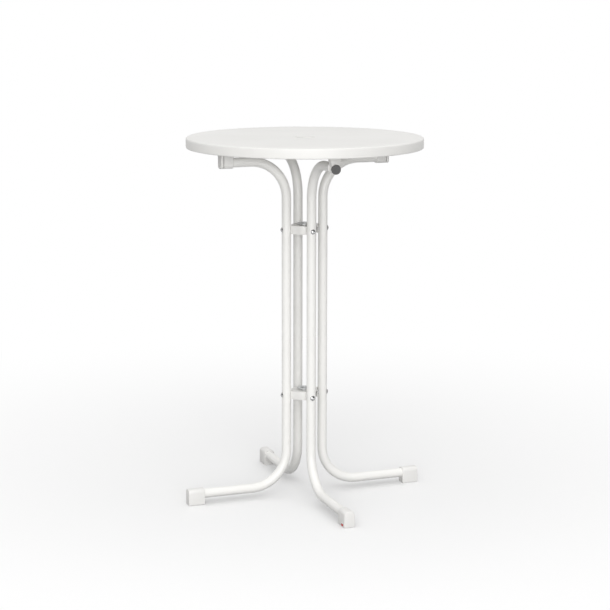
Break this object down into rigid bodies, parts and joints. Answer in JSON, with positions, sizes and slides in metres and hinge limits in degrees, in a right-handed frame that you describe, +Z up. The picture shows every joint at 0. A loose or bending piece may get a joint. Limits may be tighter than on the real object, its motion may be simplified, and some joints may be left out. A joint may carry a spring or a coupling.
{
  "type": "standing bar table",
  "caption": "Round white standing bar table on a frame of bent steel tubes whose leg pairs swing together, with a lift-off top, a lock knob and a levelling foot.",
  "frame": {"origin": "on the floor, on the table's centre line", "axes": "+Z up; the front foot points along -Y, the left foot along -X, the right foot along +X"},
  "size_m": [0.743, 0.743, 1.0882],
  "materials": {
    "powder_coated_steel": "white powder coat, semi-gloss",
    "cap_plastic": "white moulded polypropylene, fine matt",
    "pressed_tabletop": "white resin-faced pressed board, fine satin",
    "cover_plastic": "white moulded plastic, satin",
    "chromed_bolts": "bright nickel-chrome plate",
    "zinc_steel": "zinc-plated steel",
    "brass_insert": "turned brass",
    "knob_plastic": "grey moulded nylon, matt",
    "red_plastic": "red moulded nylon",
    "pad_rubber": "grey rubber"
  },
  "bodies": {
    "fixed_pair": {"leg_front": "powder_coated_steel", "leg_back": "powder_coated_steel", "upper_tray": "powder_coated_steel", "lower_tray": "powder_coated_steel", "upper_pivot_eyelet": "zinc_steel", "lower_pivot_eyelet": "zinc_steel", "foot_cap_front": "cap_plastic", "foot_cap_back": "cap_plastic", "arm_cap_front": "cap_plastic", "arm_cap_back": "cap_plastic", "lock_insert": "brass_insert", "leg_bolts_fixed": "chromed_bolts", "leg_nuts_fixed": "zinc_steel", "leg_spacers_fixed": "zinc_steel"},
    "swing_pair": {"leg_left": "powder_coated_steel", "leg_right": "powder_coated_steel", "upper_lever": "powder_coated_steel", "lower_lever": "powder_coated_steel", "foot_cap_left": "cap_plastic", "foot_cap_right": "cap_plastic", "arm_cap_left": "cap_plastic", "arm_cap_right": "cap_plastic", "leg_bolts_swing": "chromed_bolts", "leg_nuts_swing": "zinc_steel", "leg_spacers_swing": "zinc_steel"},
    "table_top": {"tabletop": "pressed_tabletop", "top_holder_front": "cap_plastic", "top_holder_back": "cap_plastic", "top_holder_left": "cap_plastic", "top_holder_right": "cap_plastic", "holder_screws": "zinc_steel"},
    "cover": {"centre_cover": "cover_plastic"},
    "lock_spindle_body": {"lock_spindle": "zinc_steel"},
    "lock_knob_body": {"lock_knob": "knob_plastic"},
    "level_wheel_body": {"level_wheel": "red_plastic"},
    "level_foot_body": {"level_stud": "zinc_steel", "level_pad": "pad_rubber"}
  },
  "joints": [
    {"name": "frame_fold", "type": "hinge", "parent": "fixed_pair", "child": "swing_pair", "pos_m": [0, 0, 0.568], "axis": [0, 0, -1], "range_deg": [0, 55]},
    {"name": "top_lift", "type": "slide", "parent": "fixed_pair", "child": "table_top", "axis": [0, 0, 1], "range_m": [0, 0.3]},
    {"name": "cover_lift", "type": "slide", "parent": "table_top", "child": "cover", "axis": [0, 0, 1], "range_m": [0, 0.1]},
    {"name": "lock_travel", "type": "slide", "parent": "fixed_pair", "child": "lock_spindle_body", "axis": [0, -1, 0], "range_m": [0, 0.00201]},
    {"name": "lock_turn", "type": "hinge", "parent": "lock_spindle_body", "child": "lock_knob_body", "pos_m": [0, -0.2526, 1.0165], "axis": [0, -1, 0], "range_deg": [0, 720]},
    {"name": "level_turn", "type": "hinge", "parent": "fixed_pair", "child": "level_wheel_body", "pos_m": [0, -0.3535, 0.006], "axis": [0, 0, 1], "range_deg": [0, 1440]},
    {"name": "level_travel", "type": "slide", "parent": "fixed_pair", "child": "level_foot_body", "axis": [0, 0, -1], "range_m": [0, 0.00501]}
  ],
  "couplings": [
    {"joint": "lock_travel", "follows": "lock_turn", "m_per_rad": 0.00015915},
    {"joint": "level_travel", "follows": "level_turn", "m_per_rad": 0.00019894}
  ]
}
